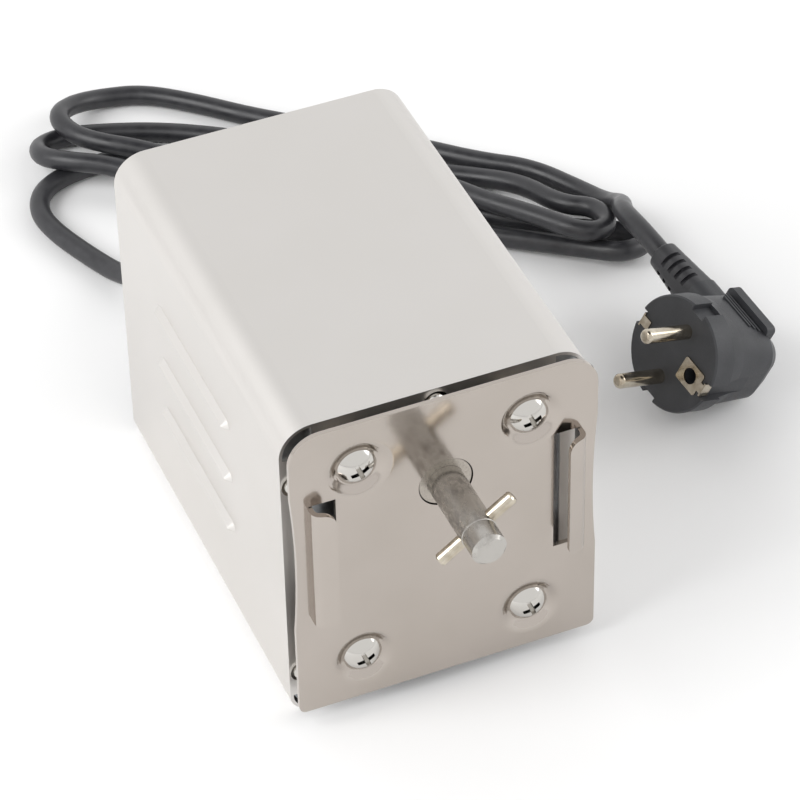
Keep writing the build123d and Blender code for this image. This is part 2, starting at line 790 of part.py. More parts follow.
pole_front_y = can_y + 0.5
pole_back_y = can_back - can_sheet - 0.5
with BuildPart() as pole_plate_front:
    add(pole_plate(pole_front_y, 1, 0).part)
write(pole_plate_front, "pole_plate_front")

with BuildPart() as pole_plate_rear:
    add(pole_plate(pole_back_y, -1, 180 / claws).part)
write(pole_plate_rear, "pole_plate_rear")

bobbin_front = pole_front_y + claw
bobbin_back = pole_back_y - claw
with BuildPart() as coil_bobbin:
    with BuildSketch(facing(bobbin_front)):
        with Locations(motor_axis):
            Circle(bobbin_r)
            Circle(bobbin_bore / 2, mode=Mode.SUBTRACT)
    extrude(amount=-(bobbin_back - bobbin_front))
    with BuildSketch(facing(bobbin_front + bobbin_wall)):
        with Locations(motor_axis):
            Circle(bobbin_r + 1)
            Circle(bobbin_bore / 2 + bobbin_wall, mode=Mode.SUBTRACT)
    extrude(amount=-(bobbin_back - bobbin_front - 2 * bobbin_wall), mode=Mode.SUBTRACT)
write(coil_bobbin, "coil_bobbin")

with BuildPart() as coil_winding:
    with BuildSketch(facing(bobbin_front + bobbin_wall)):
        with Locations(motor_axis):
            Circle(bobbin_r - 1.5)
            Circle(bobbin_bore / 2 + bobbin_wall, mode=Mode.SUBTRACT)
    extrude(amount=-(bobbin_back - bobbin_front - 2 * bobbin_wall))
write(coil_winding, "coil_winding")

rotor_y = (pole_front_y + pole_back_y - rotor_length) / 2
with BuildPart() as rotor_magnet:
    with BuildSketch(facing(rotor_y)):
        with Locations(motor_axis):
            Circle(rotor_d / 2)
            Circle(rotor_d / 2 - 4, mode=Mode.SUBTRACT)
    extrude(amount=-rotor_length)
write(rotor_magnet, "rotor_magnet")

with BuildPart() as rotor_hub:
    with BuildSketch(facing(rotor_y + 2)):
        with Locations(motor_axis):
            Circle(rotor_d / 2 - 4)
            Circle(rotor_shaft_d / 2, mode=Mode.SUBTRACT)
    extrude(amount=-(rotor_length - 4))
write(rotor_hub, "rotor_hub")

with BuildPart() as rotor_shaft:
    with BuildSketch(facing(first_y)):
        with Locations(motor_axis):
            Circle(rotor_shaft_d / 2)
    extrude(amount=-(can_back + 1 - first_y))
write(rotor_shaft, "rotor_shaft")

with BuildPart() as motor_pinion:
    with BuildSketch(facing(first_y)):
        with Locations(motor_axis):
            Polygon(*tooth_points(modules[0], pinion_teeth, motor_pinion_turn), align=None)
    extrude(amount=-gear_face[0])
    with BuildSketch(facing(first_y)):
        with Locations(motor_axis):
            Circle(rotor_shaft_d / 2)
    extrude(amount=-gear_face[0], mode=Mode.SUBTRACT)
write(motor_pinion, "motor_pinion")


def bearing(y, length):
    """Plain bearing of the rotor shaft."""
    with BuildPart() as sleeve:
        with BuildSketch(facing(y)):
            with Locations(motor_axis):
                Circle(bearing_r)
                Circle(rotor_shaft_d / 2 + running, mode=Mode.SUBTRACT)
        extrude(amount=-length)
    return sleeve


with BuildPart() as motor_bearing_front:
    add(bearing(motor_y - 0.4, can_y - motor_y + 2.2).part)
write(motor_bearing_front, "motor_bearing_front")

with BuildPart() as motor_bearing_rear:
    add(bearing(can_back - can_sheet - 1.2, can_sheet + 1.8).part)
write(motor_bearing_rear, "motor_bearing_rear")

# ================================================================ wiring
block_x = gland_x
block_y = case_back - 42
block_height = 14.0
way = 10.0
block_top = base_top + block_height
with BuildPart() as terminal_block:
    with BuildSketch(Plane.XY.offset(base_top)):
        with Locations((block_x, block_y)):
            Rectangle(3 * way, 16)
    extrude(amount=block_height)
    fillet(terminal_block.edges().filter_by(Axis.Z), 1)
    with Locations(facing(block_y)):
        with Locations([(block_x + way * i, base_top + 7) for i in (-1, 0, 1)]):
            Cylinder(core_d / 2 + 0.3, 20, mode=Mode.SUBTRACT)
    with BuildSketch(Plane.XY.offset(block_top)):
        with Locations((block_x, block_y)):
            with GridLocations(way, 8, 3, 2):
                Circle(2.2)
    extrude(amount=-4, mode=Mode.SUBTRACT)
write(terminal_block, "terminal_block")

with BuildPart() as terminal_screws:
    with BuildSketch(Plane.XY.offset(block_top - 4)):
        with Locations((block_x, block_y)):
            with GridLocations(way, 8, 3, 2):
                Circle(2.0)
    extrude(amount=2.6)
    with BuildSketch(Plane.XY.offset(block_top - 1.4)):
        with Locations((block_x, block_y)):
            with GridLocations(way, 8, 3, 2):
                Rectangle(3.4, 0.7, rotation=30)
    extrude(amount=-0.8, mode=Mode.SUBTRACT)
write(terminal_screws, "terminal_screws")

earth_place = (22.0, block_y)
with BuildPart() as earth_screw:
    with BuildSketch(Plane.XY.offset(base_top + 0.8)):
        with Locations(earth_place):
            Circle(m3_head_d / 2)
    extrude(amount=m3_head)
    with BuildSketch(Plane.XY.offset(base_top)):
        with Locations(earth_place):
            Circle(m3_r)
    extrude(amount=1.2)
write(earth_screw, "earth_screw")

with BuildPart() as earth_tag:
    with BuildSketch(Plane.XY.offset(base_top)):
        with Locations(earth_place):
            Circle(3.6)
        with Locations((earth_place[0] - 6, earth_place[1])):
            Rectangle(8, 3)
        with Locations(earth_place):
            Circle(m3_r + 0.1, mode=Mode.SUBTRACT)
    extrude(amount=0.8)
write(earth_tag, "earth_tag")


def corner_radii(points):
    """Largest arc at each corner: 0.45 of the shorter run over the tangent of half the turn."""
    radii = []
    for before, here, after in zip(points, points[1:], points[2:]):
        run_in = Vector(*here) - Vector(*before)
        run_out = Vector(*after) - Vector(*here)
        half_turn = math.radians(run_in.get_angle(run_out)) / 2
        radii.append(0.45 * min(run_in.length, run_out.length) / math.tan(half_turn))
    return radii


def tube(points, diameter):
    """Round tube along straight runs joined by tangent arcs."""
    with BuildPart() as piece:
        with BuildLine() as route:
            FilletPolyline(*points, radius=corner_radii(points))
        with BuildSketch(Plane(origin=route.line @ 0, z_dir=route.line % 0)):
            Circle(diameter / 2)
        sweep()
    return piece


cord_in_y = case_back - cover_sheet - wall_sheet - 10
core_z = base_top + 7
for name, index in (("core_live", -1), ("core_neutral", 0), ("core_earth", 1)):
    lane = block_x + way * index
    middle = (cord_in_y + block_y + 6) / 2
    exit_x = gland_x + (core_d + 0.1) * index
    with BuildPart() as core:
        add(tube([(exit_x, cord_in_y - slip, gland_z),
                  (exit_x + 0.3 * index, cord_in_y - 5, gland_z - 1),
                  (lane - 0.2, middle, core_z + 3), (lane, middle - 5, core_z + 0.4),
                  (lane, block_y + 4, core_z)], core_d).part)
    write(core, name)

lead_x = motor_axis[0] - motor_d / 2 * 0.6
for name, index in (("motor_lead_live", -1), ("motor_lead_neutral", 0)):
    lane = block_x + way * index
    start_x = lead_x + 6 * index
    with BuildPart() as lead:
        add(tube([(start_x, can_back + 0.4, core_z + 14), (start_x + 0.4, can_back + 8, core_z + 13),
                  (lane + 0.3, block_y - 18, core_z + 3), (lane, block_y - 12, core_z + 0.5),
                  (lane, block_y - 4, core_z)], core_d).part)
    write(lead, name)

with BuildPart() as earth_lead:
    add(tube([(earth_place[0] - 10, earth_place[1], base_top + 1.5),
              (earth_place[0] - 14, earth_place[1] - 1, base_top + 2.5),
              (earth_place[0] - 18, earth_place[1] - 10, base_top + 5),
              (block_x + way + 4, block_y - 20, base_top + 6.6),
              (block_x + way + 0.4, block_y - 14, core_z - 0.2),
              (block_x + way, block_y - 4, core_z)], core_d).part)
write(earth_lead, "earth_lead")

# ================================================================ cord entry
with BuildPart() as cable_gland:
    with BuildSketch(facing(case_back)):
        with Locations((gland_x, gland_z)):
            Circle(gland_flange_d / 2)
    extrude(amount=-gland_flange)
    with BuildSketch(facing(rear_wall_y - 6)):
        with Locations((gland_x, gland_z)):
            Circle(gland_neck_d / 2)
    extrude(amount=-(case_back - rear_wall_y + 6))
    with Locations(facing(case_back)):
        with Locations((gland_x, gland_z)):
            Cylinder(cord_d / 2, 60, mode=Mode.SUBTRACT)
write(cable_gland, "cable_gland")

with BuildPart() as gland_nut:
    with BuildSketch(facing(rear_wall_y - 5)):
        with Locations((gland_x, gland_z)):
            RegularPolygon(9, 6)
            Circle(gland_neck_d / 2, mode=Mode.SUBTRACT)
    extrude(amount=-5)
write(gland_nut, "gland_nut")

with BuildPart() as cord_jacket_end:
    with BuildSketch(facing(cord_in_y)):
        with Locations((gland_x, gland_z)):
            Circle(cord_d / 2)
    extrude(amount=-(case_back - cord_in_y))
write(cord_jacket_end, "cord_jacket_end")

relief_y = case_back + gland_flange
with BuildPart() as cord_strain_relief:
    with BuildSketch(facing(relief_y)):
        with Locations((gland_x, gland_z)):
            Circle(relief_d / 2)
    with BuildSketch(facing(relief_y + relief_length)):
        with Locations((gland_x, gland_z)):
            Circle(relief_tip_d / 2)
    loft()
write(cord_strain_relief, "cord_strain_relief")

# ================================================================ plug
plug_plane = Plane(origin=plug_centre, x_dir=plug_pins_along, z_dir=plug_faces)
earth_socket = (0, -10)
plug_waist = 28              # depth behind the face at which the body starts to close
grip_depth = 30.5
grip_middle = (11.6, 2)
grip_length = 21
grip_width = 7.0
grip_sheet = 3.6
rib_count = 3
rib_pitch = 1.7
rib_side = 1.2
rib_first = (13.1, 5.2)      # across the pins, and in front of the grip
rib_slope = 0.35
clip_length = 3.0
shoulder = plug_rim + 6
guide_notch = 2.2
clip_recess = 2.6
clip_width = 5.0
clip_sheet = 0.6


def plug_block(top, bottom):
    """Loft between two rounded sections, each (depth, across the pins, along the cord, corner)."""
    with BuildPart() as block:
        for depth, across, along, corner in (top, bottom):
            with BuildSketch(plug_plane.offset(-depth)):
                RectangleRounded(across, along, corner)
        loft()
    return block


with BuildPart() as plug_body:
    with BuildSketch(plug_plane):
        Circle(plug_face_r)
        for side in (-1, 1):
            with Locations((side * plug_face_r, 0)):
                Rectangle(2 * guide_notch, 5.4, mode=Mode.SUBTRACT)
    extrude(amount=-plug_rim)
    chamfer(plug_body.faces().sort_by(Axis(plug_centre, plug_faces))[-1].edges()
            .filter_by(GeomType.CIRCLE), 0.5)
    with BuildSketch(plug_plane.offset(-plug_rim)):
        Circle(plug_face_r - 0.8)
    with BuildSketch(plug_plane.offset(-shoulder)):
        RectangleRounded(31, 33, 13)
    loft()
    add(plug_block((shoulder, 31, 33, 13), (plug_waist, 25, 31, 8)).part)
    add(plug_block((plug_waist, 25, 31, 8), (plug_depth, 18, 26, 6)).part)
    with BuildSketch(plug_plane.offset(-grip_depth)):
        with Locations(grip_middle):
            RectangleRounded(grip_width, grip_length, grip_sheet / 2)
    extrude(amount=grip_sheet)
    for rib in range(rib_count):
        with BuildSketch(plug_plane.offset(-grip_depth + rib_first[1] + rib_pitch * rib)):
            with Locations((rib_first[0] + rib_slope * rib, grip_middle[1])):
                Rectangle(rib_side, grip_length - 3 - 2 * rib)
        extrude(amount=rib_side / 2)
    with BuildSketch(Plane(origin=plug_plane.from_local_coords((0, 0, -plug_relief_depth)),
                           x_dir=plug_pins_along, z_dir=plug_plane.y_dir)):
        RectangleRounded(13.2, 12, 4.5)
    extrude(amount=plug_relief_start)
    with BuildSketch(plug_plane):
        for side in (-1, 1):
            with Locations((0, side * plug_face_r)):
                Rectangle(clip_width + 1, 2 * clip_recess)
    extrude(amount=-shoulder - 8, mode=Mode.SUBTRACT)
    with BuildSketch(plug_plane):
        with Locations(earth_socket):
            Circle(2.7)
    extrude(amount=-plug_rim + 1, mode=Mode.SUBTRACT)
    with BuildSketch(plug_plane):
        with Locations([(side * pin_span / 2, 0) for side in (-1, 1)]):
            Circle(pin_d / 2)
    extrude(amount=-6, mode=Mode.SUBTRACT)
write(plug_body, "plug_body")

with BuildPart() as plug_pins:
    with BuildSketch(plug_plane.offset(-6)):
        with Locations([(side * pin_span / 2, 0) for side in (-1, 1)]):
            Circle(pin_d / 2)
    extrude(amount=6 + pin_length)
    fillet(plug_pins.edges().filter_by(GeomType.CIRCLE)
           .filter_by(lambda edge: plug_plane.to_local_coords(edge.center()).Z > 1), 1.4)
write(plug_pins, "plug_pins")

with BuildPart() as plug_earth_clips:
    for side in (-1, 1):
        seat = side * (plug_face_r - clip_recess + clip_sheet / 2)
        with BuildSketch(plug_plane.offset(-clip_length)):
            with Locations((0, seat)):
                Rectangle(clip_width, clip_sheet)
        extrude(amount=clip_length + clip_sheet)
        with BuildSketch(plug_plane):
            with Locations((0, side * (plug_face_r - clip_recess - 2 + clip_sheet))):
                Rectangle(clip_width - 1.6, 4)
        extrude(amount=clip_sheet)
    with BuildSketch(plug_plane):
        with Locations(earth_socket):
            RectangleRounded(8.4, 9.6, 0.8)
            Circle(2.6, mode=Mode.SUBTRACT)
    extrude(amount=clip_sheet)
write(plug_earth_clips, "plug_earth_clips")

relief_base = plug_plane.from_local_coords((0, plug_relief_start, -plug_relief_depth))
relief_plane = Plane(origin=relief_base, x_dir=plug_pins_along, z_dir=plug_plane.y_dir)
slot_pitch = 3.5
slot_taper = 0.45            # how much nearer the axis each slot is than the last
slot_count = 4
slot_wide = 9.0              # slots over the two corners seen from above and below
slot_short = 3.5
slot_gap = 1.5
slot_reach = 7.0
with BuildPart() as plug_strain_relief:
    with BuildSketch(relief_plane):
        RectangleRounded(12.4, 11.4, 4)
    with BuildSketch(relief_plane.offset(plug_relief_length)):
        RectangleRounded(9.6, 9.2, 4)
    loft()
    fillet(plug_strain_relief.faces().sort_by(Axis(relief_base, plug_plane.y_dir))[-1].edges(), 0.8)
    for step in range(slot_count):
        with BuildSketch(relief_plane.offset(3 + slot_pitch * step)):
            for corner in range(4):
                with PolarLocations(slot_reach - slot_taper * step, 1,
                                    start_angle=-45 + 90 * corner):
                    Rectangle(4, (slot_wide, slot_short)[corner % 2])
        extrude(amount=slot_gap, mode=Mode.SUBTRACT)
write(plug_strain_relief, "plug_strain_relief")

# ================================================================ free cord
# The hank: from the gland along the left fold, to and fro between the folds, to the plug.
cord_points = [
    (gland_x, relief_y + relief_length, gland_z), (-18, 125.2, 22), (-20.8, 139.7, 13.5),
    (-26, 154.7, 5),
    (-32, 170.7, 3.5), (-38, 186.7, 3.5), (-40, 198.7, 3.5), (-36.5, 208.7, 3.5), (-28, 214.7, 3.5),
    (-14, 217.2, 3.5), (2, 216.2, 3.5), (20, 207.7, 3.5),
    (50, 186.7, 3.5), (76, 164.3, 4.3), (87.9, 151.5, 9.6), (96.3, 135.8, 10.9),
    (108.5, 118.4, 12.8), (117.7, 103.3, 13.9), (128.3, 105.4, 11.3), (129.9, 118.6, 9.8),
    (119.4, 126, 8.9), (113.5, 144.7, 6.5), (100, 159.2, 3.5), (77, 175, 3.5), (53, 197.4, 3.5),
    (28.8, 215.7, 3.5), (12, 225.7, 3.5), (-4, 232.2, 3.5), (-18, 236.2, 3.5), (-29, 232.2, 5.5),
    (-31.5, 221.2, 9.4), (-24.5, 212.7, 11.3), (-13, 205.7, 11.3), (3, 193.2, 8), (27, 172.7, 3.5),
    (60, 148.2, 3.5), (86.5, 131.9, 3.5), (106.2, 116.1, 4.7), (120.4, 105.7, 4.8),
    (128.1, 96, 7.4), (138.5, 98.2, 6.2), (139.7, 108.6, 3.5), (122.6, 117.5, 3.5),
    (103, 131.9, 3.5), (77, 154.7, 3.5), (46, 176.2, 3.5), (18, 198.2, 6.5), (0, 210.2, 10.9),
    (-11, 217.7, 11.5), (-18.5, 226.7, 11.5), (-20, 238.7, 11.2), (-11, 248.2, 7), (2, 251.7, 3.5),
    (15, 248.2, 3.5), (29, 236.7, 3.5), (46, 219.2, 3.5), (68, 201.2, 3.5), (90, 181.7, 3.5),
    (106.6, 164.9, 3.7), (121, 153.2, 4.5), (131.5, 136.2, 3.9), (135.5, 123.8, 6.2),
    (136.3, 112.9, 13.5), (129.7, 100.3, 21.9),
]
relief_end = plug_plane.from_local_coords(
    (0, plug_relief_start + plug_relief_length, -plug_relief_depth))
away = relief_end + plug_plane.y_dir * 11
cord_points.append((away.X, away.Y, away.Z))
cord_points.append((relief_end.X, relief_end.Y, relief_end.Z))
with BuildPart() as power_cord:
    add(tube(cord_points, cord_d).part)
write(power_cord, "power_cord")

print("cord arc radii:", [round(radius, 1) for radius in corner_radii(cord_points)])
cord_line = power_cord.part.volume / (math.pi * cord_d ** 2 / 4)
print("cord length from its volume:", round(cord_line, 1))
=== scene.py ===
"""Looks of the rotisserie motor unit: camera, light, the free cord and every surface's finish."""
import json
import math
import bmesh
import bpy
from mathutils import Matrix, Vector


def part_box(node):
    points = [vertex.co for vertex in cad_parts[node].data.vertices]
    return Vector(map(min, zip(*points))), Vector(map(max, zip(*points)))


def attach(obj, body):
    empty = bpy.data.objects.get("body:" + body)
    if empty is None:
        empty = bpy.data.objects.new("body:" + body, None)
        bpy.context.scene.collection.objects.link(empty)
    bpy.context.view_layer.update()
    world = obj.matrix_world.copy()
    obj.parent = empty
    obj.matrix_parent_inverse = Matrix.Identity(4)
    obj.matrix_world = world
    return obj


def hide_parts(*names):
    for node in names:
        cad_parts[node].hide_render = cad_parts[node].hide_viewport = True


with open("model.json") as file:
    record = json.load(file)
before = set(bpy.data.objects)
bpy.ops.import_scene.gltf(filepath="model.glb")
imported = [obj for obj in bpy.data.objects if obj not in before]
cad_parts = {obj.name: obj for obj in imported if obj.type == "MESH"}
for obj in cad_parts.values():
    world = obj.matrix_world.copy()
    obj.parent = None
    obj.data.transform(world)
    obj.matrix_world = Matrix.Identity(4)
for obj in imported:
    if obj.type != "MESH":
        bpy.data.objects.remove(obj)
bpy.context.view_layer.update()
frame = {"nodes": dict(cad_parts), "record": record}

MM = 0.001
nodes = frame["nodes"]


# ---------------------------------------------------------------- small helpers
def linear(hex_colour):
    """sRGB hex to the linear colour that shaders take."""
    channels = [int(hex_colour[i:i + 2], 16) / 255 for i in (1, 3, 5)]
    return [c / 12.92 if c <= 0.04045 else ((c + 0.055) / 1.055) ** 2.4 for c in channels] + [1]


def add_node(tree, kind, links=None, **settings):
    """Add a shader node, set its properties and inputs, and link its inputs."""
    node = tree.nodes.new(kind)
    for name, value in settings.items():
        if hasattr(node, name):
            setattr(node, name, value)
        else:
            node.inputs[name.replace("_", " ")].default_value = value
    for name, source in (links or {}).items():
        tree.links.new(source, node.inputs[name])
    return node


def blank_material(name, colour, metallic, roughness, ior=1.5):
    """Material with its constant values on the shader's own sockets."""
    material = bpy.data.materials.new(name)
    material.use_nodes = True
    shader = material.node_tree.nodes["Principled BSDF"]
    shader.inputs["Base Color"].default_value = linear(colour)
    shader.inputs["Metallic"].default_value = metallic
    shader.inputs["Roughness"].default_value = roughness
    shader.inputs["IOR"].default_value = ior
    return material, material.node_tree, shader


def stretched(tree, scale):
    """Object coordinates stretched by a scale for each axis."""
    coords = add_node(tree, "ShaderNodeTexCoord")
    return add_node(tree, "ShaderNodeMapping", {"Vector": coords.outputs["Object"]}, Scale=scale)


def noise(tree, scale, detail=3.0, stretch=(1, 1, 1), rough=0.5):
    """Noise whose lumps are 1/scale metres across before it is stretched."""
    mapping = stretched(tree, stretch)
    return add_node(tree, "ShaderNodeTexNoise", {"Vector": mapping.outputs["Vector"]},
                    Scale=scale, Detail=detail, Roughness=rough)


def spread(tree, source, low, high, start=0.3, end=0.7):
    """Map a 0..1 pattern between start and end to the range low..high."""
    return add_node(tree, "ShaderNodeMapRange", {"Value": source}, From_Min=start, From_Max=end,
                    To_Min=low, To_Max=high)


def tint(tree, factor, dark, light):
    """Mix two sRGB colours by a pattern."""
    mix = add_node(tree, "ShaderNodeMix", data_type="RGBA")
    mix.inputs[6].default_value = linear(dark)
    mix.inputs[7].default_value = linear(light)
    tree.links.new(factor, mix.inputs[0])
    return mix.outputs[2]


def emboss(tree, shader, height, depth, strength=1.0):
    """Bump of a depth in metres."""
    bump = add_node(tree, "ShaderNodeBump", {"Height": height}, Strength=strength, Distance=depth)
    tree.links.new(bump.outputs["Normal"], shader.inputs["Normal"])
    return bump


# ---------------------------------------------------------------- materials
def rolled_steel(name, dark, light, roughness, grain=(1, 1, 1), depth=0.000002):
    """Sheet steel: fine rolling grain, a barely cloudy tone, roughness that wanders a little."""
    material, tree, shader = blank_material(name, light, 1.0, roughness)
    clouds = noise(tree, 22.0, 3.0)
    lines = noise(tree, 900.0, 2.0, grain, 0.6)
    shade = spread(tree, clouds.outputs["Fac"], 0.0, 1.0, 0.2, 0.8)
    tree.links.new(tint(tree, shade.outputs["Result"], dark, light), shader.inputs["Base Color"])
    rough = spread(tree, clouds.outputs["Fac"], roughness - 0.015, roughness + 0.02)
    tree.links.new(rough.outputs["Result"], shader.inputs["Roughness"])
    emboss(tree, shader, lines.outputs["Fac"], depth)
    return material


def satin_cover_steel():
    """Satin stainless sheet: wide soft reflections, grain along the case."""
    return rolled_steel("satin_stainless_sheet", "#D9D6D2", "#DEDBD8", 0.42, (1, 0.03, 1))


def bright_plate_steel():
    """Bright rolled stainless plate: clear reflections, a warm tone and faint smudges."""
    material, tree, shader = blank_material("bright_rolled_plate", "#C4BCB4", 1.0, 0.15)
    clouds = noise(tree, 30.0, 3.0)
    smudge = noise(tree, 90.0, 3.0, (1, 1, 0.4))
    lines = noise(tree, 1400.0, 2.0, (0.04, 1, 1), 0.6)
    shade = spread(tree, clouds.outputs["Fac"], 0.0, 1.0, 0.2, 0.8)
    tree.links.new(tint(tree, shade.outputs["Result"], "#B3ABA3", "#BCB4AD"),
                   shader.inputs["Base Color"])
    rough = spread(tree, smudge.outputs["Fac"], 0.12, 0.18)
    tree.links.new(rough.outputs["Result"], shader.inputs["Roughness"])
    emboss(tree, shader, lines.outputs["Fac"], 0.0000006)
    return material


def nickel_screw_steel():
    """Nickel-plated screw steel: nearly a mirror, with a little orange peel."""
    material, tree, shader = blank_material("bright_nickel_plate", "#C9C6C1", 1.0, 0.09)
    peel = noise(tree, 1500.0, 2.0)
    rough = spread(tree, peel.outputs["Fac"], 0.06, 0.14)
    tree.links.new(rough.outputs["Result"], shader.inputs["Roughness"])
    emboss(tree, shader, peel.outputs["Fac"], 0.000003)
    return material


def turned_shaft_steel():
    """Turned steel bar: fine rings round the shaft and a scuffed patch of rougher metal."""
    material, tree, shader = blank_material("turned_steel_bar", "#B4B1AD", 1.0, 0.28)
    rings = noise(tree, 2600.0, 2.0, (0.01, 1, 0.01), 0.6)
    scuffs = noise(tree, 520.0, 6.0, (1, 0.5, 1), 0.75)
    patch = noise(tree, 85.0, 2.0)
    area = spread(tree, patch.outputs["Fac"], 0.0, 1.0, 0.45, 0.6)
    marks = spread(tree, scuffs.outputs["Fac"], 0.0, 1.0, 0.42, 0.62)
    worn = add_node(tree, "ShaderNodeMath", operation="MULTIPLY")
    tree.links.new(area.outputs["Result"], worn.inputs[0])
    tree.links.new(marks.outputs["Result"], worn.inputs[1])
    tree.links.new(tint(tree, worn.outputs["Value"], "#BAB7B2", "#8E8984"),
                   shader.inputs["Base Color"])
    rough = spread(tree, worn.outputs["Value"], 0.24, 0.5, 0.0, 1.0)
    tree.links.new(rough.outputs["Result"], shader.inputs["Roughness"])
    emboss(tree, shader, rings.outputs["Fac"], 0.000006)
    return material


def plated_pin_steel():
    """Hard pin with a yellowish bright plating."""
    material, tree, shader = blank_material("yellow_passivated_pin", "#C9BFAE", 1.0, 0.16)
    wear = noise(tree, 300.0, 4.0)
    tree.links.new(tint(tree, spread(tree, wear.outputs["Fac"], 0, 1).outputs["Result"],
                        "#A99E8C", "#D3CBBC"), shader.inputs["Base Color"])
    rough = spread(tree, wear.outputs["Fac"], 0.12, 0.24)
    tree.links.new(rough.outputs["Result"], shader.inputs["Roughness"])
    return material


def cord_sheath():
    """Round PVC sheath: satin black with a fine drawn texture along it."""
    material, tree, shader = blank_material("satin_pvc_sheath", "#2E2E31", 0.0, 0.36)
    dust = noise(tree, 260.0, 4.0)
    tree.links.new(tint(tree, spread(tree, dust.outputs["Fac"], 0, 1).outputs["Result"],
                        "#28282B", "#343437"), shader.inputs["Base Color"])
    rough = spread(tree, dust.outputs["Fac"], 0.3, 0.44)
    tree.links.new(rough.outputs["Result"], shader.inputs["Roughness"])
    drawn = noise(tree, 1800.0, 2.0)
    emboss(tree, shader, drawn.outputs["Fac"], 0.00001)
    return material


def plug_plastic():
    """Moulded PVC with a fine spark-eroded grain, about 0.3 mm between grains."""
    material, tree, shader = blank_material("spark_eroded_pvc", "#343538", 0.0, 0.5)
    grain = noise(tree, 3000.0, 2.0)
    wear = noise(tree, 120.0, 3.0)
    tree.links.new(tint(tree, spread(tree, wear.outputs["Fac"], 0, 1).outputs["Result"],
                        "#303134", "#393A3D"), shader.inputs["Base Color"])
    rough = spread(tree, grain.outputs["Fac"], 0.42, 0.6)
    tree.links.new(rough.outputs["Result"], shader.inputs["Roughness"])
    emboss(tree, shader, grain.outputs["Fac"], 0.00004)
    return material


def plain_finish(name, dark, light, metallic, roughness, scale, depth):
    """A finish with cloudy tone and roughness and a fine relief, scale in lumps per metre."""
    material, tree, shader = blank_material(name, light, metallic, roughness)
    lumps = noise(tree, scale, 4.0)
    shade = spread(tree, lumps.outputs["Fac"], 0.0, 1.0)
    tree.links.new(tint(tree, shade.outputs["Result"], dark, light), shader.inputs["Base Color"])
    rough = spread(tree, lumps.outputs["Fac"], roughness - 0.05, roughness + 0.08)
    tree.links.new(rough.outputs["Result"], shader.inputs["Roughness"])
    emboss(tree, shader, lumps.outputs["Fac"], depth)
    return material


finishes = {
    "stainless_sheet": satin_cover_steel(),
    "plate_steel": bright_plate_steel(),
    "bright_screw": nickel_screw_steel(),
    "turned_steel": turned_shaft_steel(),
    "plated_pin": plated_pin_steel(),
    "black_rubber": cord_sheath(),
    "black_plug": plug_plastic(),
    # Spangle of hot-dip zinc, a few millimetres across.
    "zinc_sheet": plain_finish("zinc_coated_sheet", "#8F9295", "#ABAEB0", 1.0, 0.36, 350.0, 4e-6),
    # Oil-filled sintered metal is dull and slightly open-grained.
    "bush_metal": plain_finish("sintered_bronze", "#A39C93", "#B8B1A8", 1.0, 0.3, 2200.0, 1e-5),
    # Die-cast alloy keeps the grey skin of its mould.
    "die_cast": plain_finish("die_cast_alloy", "#8E8F91", "#A6A7A8", 1.0, 0.45, 700.0, 2e-5),
    # Cut brass shows fine tool marks.
    "brass_gear": plain_finish("cut_brass", "#A98342", "#C9A35A", 1.0, 0.25, 500.0, 4e-6),
    # Enamelled wire shows as fine turns of lacquered copper.
    "copper_winding": plain_finish("enamelled_copper", "#7E3A1C", "#B4602F", 1.0, 0.3, 1500.0, 3e-5),
    # Moulded nylon is milky and smooth.
    "white_nylon": plain_finish("natural_nylon", "#D8D3C6", "#E6E2D8", 0.0, 0.45, 400.0, 6e-6),
    # Ferrite is black with a fine gritty skin.
    "magnet": plain_finish("sintered_ferrite", "#1E1E20", "#2C2C2E", 0.0, 0.6, 900.0, 1e-5),
    # Soft insulation on the wires, the earth one with stripes of two colours.
    "brown_wire": plain_finish("brown_insulation", "#4A2A16", "#5C3620", 0.0, 0.4, 800.0, 5e-6),
    "blue_wire": plain_finish("blue_insulation", "#1C4C9A", "#2B5FB2", 0.0, 0.4, 800.0, 5e-6),
    "earth_wire": plain_finish("green_yellow_insulation", "#3E8A2C", "#D3C53A", 0.0, 0.4, 180.0, 5e-6),
}
SLOT_OF = {piece["node"]: piece["material_slot"] for piece in frame["record"]["subparts"]}


def finish_node(name, material):
    """Give a CAD node its finish."""
    mesh_object = nodes[name]
    if not mesh_object.material_slots:
        mesh_object.data.materials.append(material)
    for material_slot in mesh_object.material_slots:
        material_slot.material = material


for node_name, slot_name in SLOT_OF.items():
    finish_node(node_name, finishes[slot_name])


# ---------------------------------------------------------------- camera, floor and light
AZIMUTH, ELEVATION, ROLL = math.radians(-21.93), math.radians(41.21), math.radians(-1.31)
TARGET = Vector((-0.01049, -0.0493, 0.1085))
DISTANCE = 1.0795
LENS = 175.4
SENSOR_WIDTH = 36
OBJECT_MIDDLE = (0, 0, 0.06)
FLOOR_HALF = 6

back = Vector((math.sin(AZIMUTH) * math.cos(ELEVATION), -math.cos(AZIMUTH) * math.cos(ELEVATION),
               math.sin(ELEVATION)))
right = Vector((0, 0, 1)).cross(back).normalized()
up = back.cross(right)
camera_right = right * math.cos(ROLL) + up * math.sin(ROLL)
camera_up = up * math.cos(ROLL) - right * math.sin(ROLL)
camera = bpy.data.objects.new("camera", bpy.data.cameras.new("camera"))
camera.data.lens = LENS
camera.data.sensor_width = SENSOR_WIDTH
camera.matrix_world = (Matrix.Translation(TARGET + back * DISTANCE)
                       @ Matrix((camera_right, camera_up, back)).transposed().to_4x4())
bpy.context.scene.collection.objects.link(camera)
bpy.context.scene.camera = camera


